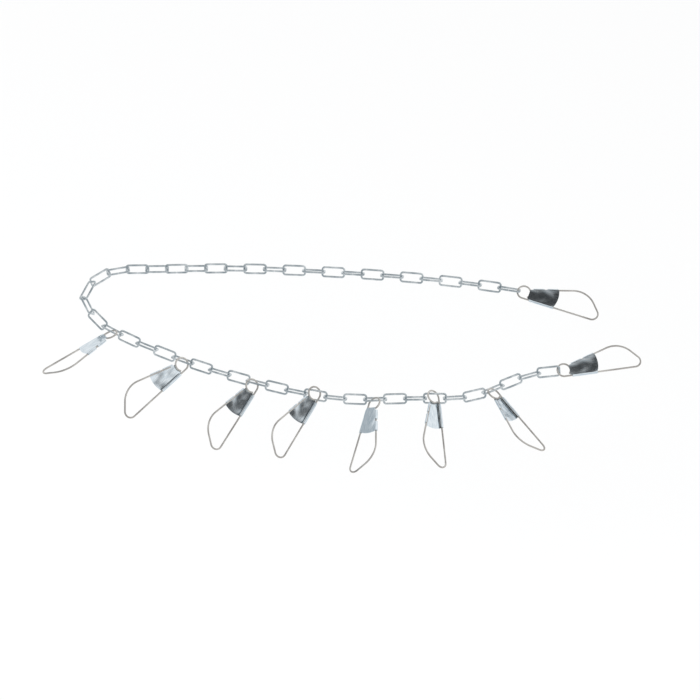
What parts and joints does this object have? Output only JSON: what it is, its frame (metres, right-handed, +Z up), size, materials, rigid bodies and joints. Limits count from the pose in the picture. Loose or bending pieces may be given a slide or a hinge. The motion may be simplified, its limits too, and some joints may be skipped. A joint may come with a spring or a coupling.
{
  "type": "chain fish stringer",
  "caption": "Chain fish stringer: a long chain of rectangular wire links with safety-pin style wire snaps hung along one half and one snap at each end.",
  "frame": {"origin": "on the table, under the middle of the box round the laid-out stringer", "axes": "+X along the two runs of the chain towards its ends, +Y from the run with the fish snaps to the bare run, +Z up from the table"},
  "size_m": [0.5973, 0.2393, 0.0187],
  "materials": {
    "chain_wire": "bright zinc plate on steel wire",
    "snap_wire": "plated spring-steel wire",
    "clasp_sheet": "mirror-bright plated steel sheet"
  },
  "bodies": {
    "link_01": {"link_01": "chain_wire"},
    "links_02_03": {"links_02_03": "chain_wire"},
    "links_04_05": {"links_04_05": "chain_wire"},
    "links_06_07": {"links_06_07": "chain_wire"},
    "link_08": {"link_08": "chain_wire"},
    "links_09_10": {"links_09_10": "chain_wire"},
    "links_11_12": {"links_11_12": "chain_wire"},
    "links_13_14": {"links_13_14": "chain_wire"},
    "link_15": {"link_15": "chain_wire"},
    "links_16_17": {"links_16_17": "chain_wire"},
    "links_18_19": {"links_18_19": "chain_wire"},
    "links_20_21": {"links_20_21": "chain_wire"},
    "link_22": {"link_22": "chain_wire"},
    "link_23": {"link_23": "chain_wire"},
    "link_24": {"link_24": "chain_wire"},
    "link_25": {"link_25": "chain_wire"},
    "link_26": {"link_26": "chain_wire"},
    "link_27": {"link_27": "chain_wire"},
    "links_28_29": {"links_28_29": "chain_wire"},
    "link_30": {"link_30": "chain_wire"},
    "link_31": {"link_31": "chain_wire"},
    "links_32_33": {"links_32_33": "chain_wire"},
    "link_34": {"link_34": "chain_wire"},
    "links_35_36": {"links_35_36": "chain_wire"},
    "link_37": {"link_37": "chain_wire"},
    "links_38_39": {"links_38_39": "chain_wire"},
    "link_40": {"link_40": "chain_wire"},
    "links_41_42": {"links_41_42": "chain_wire"},
    "link_43": {"link_43": "chain_wire"},
    "links_44_45": {"links_44_45": "chain_wire"},
    "link_46": {"link_46": "chain_wire"},
    "links_47_48": {"links_47_48": "chain_wire"},
    "link_49": {"link_49": "chain_wire"},
    "snap_1": {"snap_1_bow": "snap_wire", "snap_1_clasp": "clasp_sheet"},
    "snap_1_gate": {"snap_1_gate": "snap_wire"},
    "snap_2": {"snap_2_bow": "snap_wire", "snap_2_clasp": "clasp_sheet"},
    "snap_2_gate": {"snap_2_gate": "snap_wire"},
    "snap_3": {"snap_3_bow": "snap_wire", "snap_3_clasp": "clasp_sheet"},
    "snap_3_gate": {"snap_3_gate": "snap_wire"},
    "snap_4": {"snap_4_bow": "snap_wire", "snap_4_clasp": "clasp_sheet"},
    "snap_4_gate": {"snap_4_gate": "snap_wire"},
    "snap_5": {"snap_5_bow": "snap_wire", "snap_5_clasp": "clasp_sheet"},
    "snap_5_gate": {"snap_5_gate": "snap_wire"},
    "snap_6": {"snap_6_bow": "snap_wire", "snap_6_clasp": "clasp_sheet"},
    "snap_6_gate": {"snap_6_gate": "snap_wire"},
    "snap_7": {"snap_7_bow": "snap_wire", "snap_7_clasp": "clasp_sheet"},
    "snap_7_gate": {"snap_7_gate": "snap_wire"},
    "end_snap_1": {"end_snap_1_bow": "snap_wire", "end_snap_1_clasp": "clasp_sheet"},
    "end_snap_1_gate": {"end_snap_1_gate": "snap_wire"},
    "end_snap_2": {"end_snap_2_bow": "snap_wire", "end_snap_2_clasp": "clasp_sheet"},
    "end_snap_2_gate": {"end_snap_2_gate": "snap_wire"}
  },
  "joints": [
    {"name": "link_23_hinge", "type": "hinge", "parent": "link_24", "child": "link_23", "pos_m": [-0.25948, 0.07957, 0.00493], "axis": [0.5709, 0.2274, -0.7889], "range_deg": [-45, 45]},
    {"name": "link_22_hinge", "type": "hinge", "parent": "link_23", "child": "link_22", "pos_m": [-0.25072, 0.09756, 0.00513], "axis": [0.7407, -0.367, 0.5627], "range_deg": [-45, 45]},
    {"name": "links_20_21_hinge", "type": "hinge", "parent": "link_22", "child": "links_20_21", "pos_m": [-0.23402, 0.10855, 0.00533], "axis": [-0.2883, 0.4218, 0.8597], "range_deg": [-45, 45]},
    {"name": "links_18_19_hinge", "type": "hinge", "parent": "links_20_21", "child": "links_18_19", "pos_m": [-0.19467, 0.11202, 0.00541], "axis": [0.0048, -0.3999, -0.9166], "range_deg": [-45, 45]},
    {"name": "links_16_17_hinge", "type": "hinge", "parent": "links_18_19", "child": "links_16_17", "pos_m": [-0.15508, 0.11265, 0.00546], "axis": [-0.0103, 0.3926, 0.9196], "range_deg": [-45, 45]},
    {"name": "link_15_hinge", "type": "hinge", "parent": "links_16_17", "child": "link_15", "pos_m": [-0.11548, 0.11305, 0.00524], "axis": [0.0052, -0.4905, -0.8714], "range_deg": [-45, 45]},
    {"name": "links_13_14_hinge", "type": "hinge", "parent": "link_15", "child": "links_13_14", "pos_m": [-0.09569, 0.11282, 0.00487], "axis": [-0.0003, 0.8434, -0.5372], "range_deg": [-45, 45]},
    {"name": "links_11_12_hinge", "type": "hinge", "parent": "links_13_14", "child": "links_11_12", "pos_m": [-0.05611, 0.11158, 0.00454], "axis": [-0.016, -0.7798, 0.6258], "range_deg": [-45, 45]},
    {"name": "links_09_10_hinge", "type": "hinge", "parent": "links_11_12", "child": "links_09_10", "pos_m": [-0.01656, 0.10955, 0.00439], "axis": [0.0318, 0.7064, -0.7071], "range_deg": [-45, 45]},
    {"name": "link_08_hinge", "type": "hinge", "parent": "links_09_10", "child": "link_08", "pos_m": [0.02294, 0.10686, 0.0044], "axis": [-0.051, -0.7053, 0.7071], "range_deg": [-45, 45]},
    {"name": "links_06_07_hinge", "type": "hinge", "parent": "link_08", "child": "links_06_07", "pos_m": [0.04268, 0.10528, 0.00439], "axis": [0.0571, 0.7048, 0.7071], "range_deg": [-45, 45]},
    {"name": "links_04_05_hinge", "type": "hinge", "parent": "links_06_07", "child": "links_04_05", "pos_m": [0.0821, 0.10152, 0.00439], "axis": [-0.0715, -0.7035, -0.7071], "range_deg": [-45, 45]},
    {"name": "links_02_03_hinge", "type": "hinge", "parent": "links_04_05", "child": "links_02_03", "pos_m": [0.12141, 0.09674, 0.00439], "axis": [0.0912, 0.7012, 0.7071], "range_deg": [-45, 45]},
    {"name": "link_01_hinge", "type": "hinge", "parent": "links_02_03", "child": "link_01", "pos_m": [0.16054, 0.09065, 0.00442], "axis": [-0.1139, -0.6979, -0.7071], "range_deg": [-45, 45]},
    {"name": "link_25_hinge", "type": "hinge", "parent": "link_24", "child": "link_25", "pos_m": [-0.2503, 0.0596, 0.00582], "axis": [0.5709, 0.2274, -0.7889], "range_deg": [-45, 45]},
    {"name": "link_26_hinge", "type": "hinge", "parent": "link_25", "child": "link_26", "pos_m": [-0.2365, 0.04542, 0.00361], "axis": [0.5877, 0.4691, 0.6592], "range_deg": [-45, 45]},
    {"name": "link_27_hinge", "type": "hinge", "parent": "link_26", "child": "link_27", "pos_m": [-0.21966, 0.03494, 0.00498], "axis": [-0.4144, -0.5739, 0.7063], "range_deg": [-45, 45]},
    {"name": "links_28_29_hinge", "type": "hinge", "parent": "link_27", "child": "links_28_29", "pos_m": [-0.20192, 0.02613, 0.00406], "axis": [-0.3438, -0.6184, -0.7067], "range_deg": [-45, 45]},
    {"name": "link_30_hinge", "type": "hinge", "parent": "links_28_29", "child": "link_30", "pos_m": [-0.16582, 0.00987, 0.0043], "axis": [0.2928, 0.6437, 0.7071], "range_deg": [-45, 45]},
    {"name": "link_31_hinge", "type": "hinge", "parent": "link_30", "child": "link_31", "pos_m": [-0.14748, 0.0024, 0.00446], "axis": [0.2722, 0.6526, -0.7071], "range_deg": [-45, 45]},
    {"name": "links_32_33_hinge", "type": "hinge", "parent": "link_31", "child": "links_32_33", "pos_m": [-0.12893, -0.00452, 0.00434], "axis": [-0.2514, -0.6609, -0.7071], "range_deg": [-45, 45]},
    {"name": "link_34_hinge", "type": "hinge", "parent": "links_32_33", "child": "link_34", "pos_m": [-0.0913, -0.01685, 0.00435], "axis": [0.2152, 0.6736, 0.7071], "range_deg": [-45, 45]},
    {"name": "links_35_36_hinge", "type": "hinge", "parent": "link_34", "child": "links_35_36", "pos_m": [-0.07229, -0.02237, 0.00443], "axis": [-0.2, -0.6782, 0.7071], "range_deg": [-45, 45]},
    {"name": "link_37_hinge", "type": "hinge", "parent": "links_35_36", "child": "link_37", "pos_m": [-0.03388, -0.03201, 0.00444], "axis": [0.164, 0.6878, -0.7071], "range_deg": [-45, 45]},
    {"name": "links_38_39_hinge", "type": "hinge", "parent": "link_37", "child": "links_38_39", "pos_m": [-0.0144, -0.03556, 0.00432], "axis": [-0.131, -0.6949, -0.7071], "range_deg": [-45, 45]},
    {"name": "link_40_hinge", "type": "hinge", "parent": "links_38_39", "child": "link_40", "pos_m": [0.02507, -0.03843, 0.00427], "axis": [0.03, 0.7065, 0.7071], "range_deg": [-45, 45]},
    {"name": "links_41_42_hinge", "type": "hinge", "parent": "link_40", "child": "links_41_42", "pos_m": [0.04486, -0.03795, 0.0045], "axis": [0.0091, -0.7071, 0.7071], "range_deg": [-45, 45]},
    {"name": "link_43_hinge", "type": "hinge", "parent": "links_41_42", "child": "link_43", "pos_m": [0.08445, -0.03697, 0.00439], "axis": [-0.0067, 0.7071, -0.7071], "range_deg": [-45, 45]},
    {"name": "links_44_45_hinge", "type": "hinge", "parent": "link_43", "child": "links_44_45", "pos_m": [0.10425, -0.03727, 0.00442], "axis": [-0.0096, -0.707, -0.7071], "range_deg": [-45, 45]},
    {"name": "link_46_hinge", "type": "hinge", "parent": "links_44_45", "child": "link_46", "pos_m": [0.14307, -0.03044, 0.00416], "axis": [-0.1813, 0.6835, 0.7071], "range_deg": [-45, 45]},
    {"name": "links_47_48_hinge", "type": "hinge", "parent": "link_46", "child": "links_47_48", "pos_m": [0.16096, -0.02192, 0.00465], "axis": [0.2882, -0.6458, 0.707], "range_deg": [-45, 45]},
    {"name": "link_49_hinge", "type": "hinge", "parent": "links_47_48", "child": "link_49", "pos_m": [0.19784, -0.00773, 0.0043], "axis": [-0.2098, 0.6753, -0.7071], "range_deg": [-45, 45]},
    {"name": "snap_1_swing", "type": "hinge", "parent": "link_26", "child": "snap_1", "pos_m": [-0.2275, 0.036, 0.00803], "axis": [0.8368, -0.5454, 0.0477], "range_deg": [-90, 80]},
    {"name": "snap_2_swing", "type": "hinge", "parent": "link_30", "child": "snap_2", "pos_m": [-0.15619, 0.00231, 0.00781], "axis": [0.9252, -0.3795, 0.0058], "range_deg": [-90, 20]},
    {"name": "snap_3_swing", "type": "hinge", "parent": "link_34", "child": "snap_3", "pos_m": [-0.08668, -0.0217, 0.00779], "axis": [0.96, -0.2801, 0.0029], "range_deg": [-90, 80]},
    {"name": "snap_4_swing", "type": "hinge", "parent": "link_37", "child": "snap_4", "pos_m": [-0.02459, -0.03022, 0.00775], "axis": [0.9832, -0.1823, -0.003], "range_deg": [-90, 0]},
    {"name": "snap_5_swing", "type": "hinge", "parent": "link_40", "child": "snap_5", "pos_m": [0.03391, -0.04157, 0.00781], "axis": [0.9998, 0.0204, 0.0074], "range_deg": [-90, 45]},
    {"name": "snap_6_swing", "type": "hinge", "parent": "link_43", "child": "snap_6", "pos_m": [0.09129, -0.0337, 0.00781], "axis": [0.9999, -0.0138, 0.0002], "range_deg": [-90, 0]},
    {"name": "snap_7_swing", "type": "hinge", "parent": "link_46", "child": "snap_7", "pos_m": [0.14965, -0.03091, 0.00784], "axis": [0.9071, 0.4208, 0.0146], "range_deg": [-90, 70]},
    {"name": "end_snap_1_swing", "type": "hinge", "parent": "link_01", "child": "end_snap_1", "pos_m": [0.18, 0.087, 0.00439], "axis": [-0.1294, -0.6952, 0.7071], "range_deg": [-60, 60]},
    {"name": "end_snap_2_swing", "type": "hinge", "parent": "link_49", "child": "end_snap_2", "pos_m": [0.21756, -0.00569, 0.00463], "axis": [-0.0844, 0.7021, 0.7071], "range_deg": [-40, 35]},
    {"name": "snap_1_gate_flex", "type": "hinge", "parent": "snap_1", "child": "snap_1_gate", "pos_m": [-0.29308, -0.0098, 0.00654], "axis": [-0.7122, 0.6818, 0.1672], "range_deg": [0, 30], "stiffness_Nm_per_rad": 0.4},
    {"name": "snap_2_gate_flex", "type": "hinge", "parent": "snap_2", "child": "snap_2_gate", "pos_m": [-0.21366, -0.05333, 0.00656], "axis": [-0.0323, -0.2183, -0.9753], "range_deg": [0, 30], "stiffness_Nm_per_rad": 0.4},
    {"name": "snap_3_gate_flex", "type": "hinge", "parent": "snap_3", "child": "snap_3_gate", "pos_m": [-0.1278, -0.09031, 0.00656], "axis": [0.0252, -0.2195, -0.9753], "range_deg": [0, 30], "stiffness_Nm_per_rad": 0.4},
    {"name": "snap_4_gate_flex", "type": "hinge", "parent": "snap_4", "child": "snap_4_gate", "pos_m": [-0.0645, -0.09954, 0.00656], "axis": [0.0288, -0.2194, -0.9752], "range_deg": [0, 30], "stiffness_Nm_per_rad": 0.4},
    {"name": "snap_5_gate_flex", "type": "hinge", "parent": "snap_5", "child": "snap_5_gate", "pos_m": [0.01583, -0.11948, 0.00656], "axis": [-0.9853, 0.0306, 0.1679], "range_deg": [0, 30], "stiffness_Nm_per_rad": 0.4},
    {"name": "snap_6_gate_flex", "type": "hinge", "parent": "snap_6", "child": "snap_6_gate", "pos_m": [0.09557, -0.11357, 0.00656], "axis": [0.1436, -0.1675, -0.9754], "range_deg": [0, 30], "stiffness_Nm_per_rad": 0.4},
    {"name": "snap_7_gate_flex", "type": "hinge", "parent": "snap_7", "child": "snap_7_gate", "pos_m": [0.1956, -0.09638, 0.00656], "axis": [0.2103, -0.0657, -0.9754], "range_deg": [0, 30], "stiffness_Nm_per_rad": 0.4},
    {"name": "end_snap_1_gate_flex", "type": "hinge", "parent": "end_snap_1", "child": "end_snap_1_gate", "pos_m": [0.25766, 0.06375, 0.00213], "axis": [-0.0231, -0.8005, 0.5989], "range_deg": [0, 30], "stiffness_Nm_per_rad": 0.4},
    {"name": "end_snap_2_gate_flex", "type": "hinge", "parent": "end_snap_2", "child": "end_snap_2_gate", "pos_m": [0.29675, 0.01162, 0.00212], "axis": [0.3697, -0.711, 0.5982], "range_deg": [0, 30], "stiffness_Nm_per_rad": 0.4}
  ]
}
